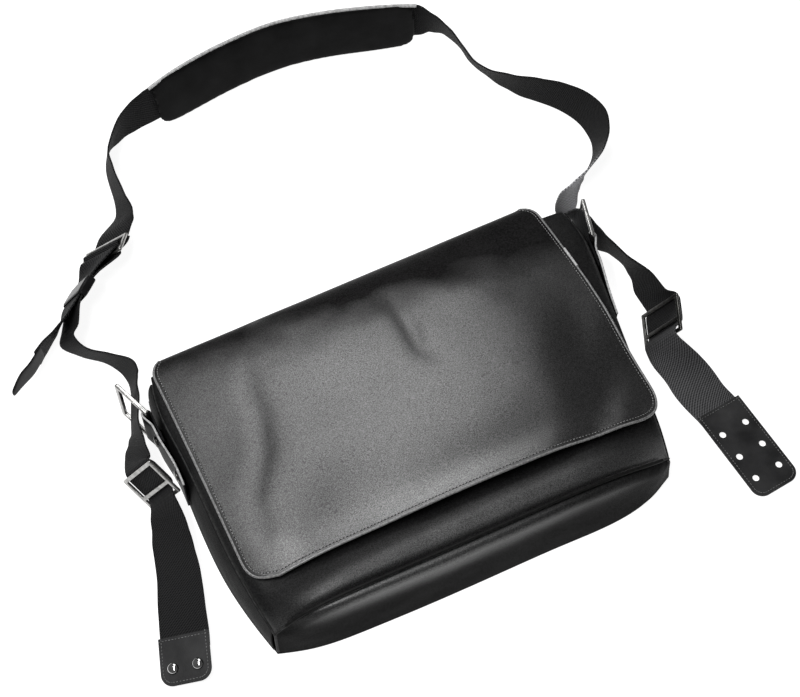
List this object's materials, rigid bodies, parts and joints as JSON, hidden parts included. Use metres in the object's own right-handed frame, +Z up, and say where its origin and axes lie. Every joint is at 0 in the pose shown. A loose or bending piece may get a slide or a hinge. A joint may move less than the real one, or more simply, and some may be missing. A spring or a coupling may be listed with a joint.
{
  "type": "shoulder bag",
  "caption": "Canvas messenger bag lying on its back with its flap closed, a padded shoulder strap on side rings, and a two-part stabiliser strap laid out beside it",
  "frame": {"origin": "on the floor, under the middle of the back panel", "axes": "X runs across the bag to the side of the hole tab, Y from the base to the mouth, Z up from the back panel to the flap"},
  "size_m": [0.6888, 0.7011, 0.1005],
  "materials": {
    "canvas": "black canvas, matt",
    "flap_canvas": "dark grey waxed canvas with a soft sheen",
    "webbing": "ribbed black webbing",
    "leather": "smooth black leather, satin",
    "metal": "polished nickel plate"
  },
  "bodies": {
    "root": {"back_panel": "canvas", "front_panel": "canvas", "base_panel": "canvas", "side_gusset_left": "canvas", "side_gusset_right": "canvas", "flap": "flap_canvas", "strap_right": "webbing", "strap_left": "webbing", "side_tab_left": "leather", "side_tab_right": "leather", "shoulder_pad": "leather", "strap_tip": "leather", "strap_keeper": "leather", "hole_tab": "leather", "stud_tab": "leather", "ring_left": "metal", "ring_right": "metal", "strap_buckle": "metal", "cross_slider_left": "metal", "cross_slider_right": "metal", "rivet_left_upper": "metal", "rivet_left_lower": "metal", "rivet_right_upper": "metal", "rivet_right_lower": "metal", "stud_left": "metal", "stud_right": "metal"}
  },
  "joints": []
}
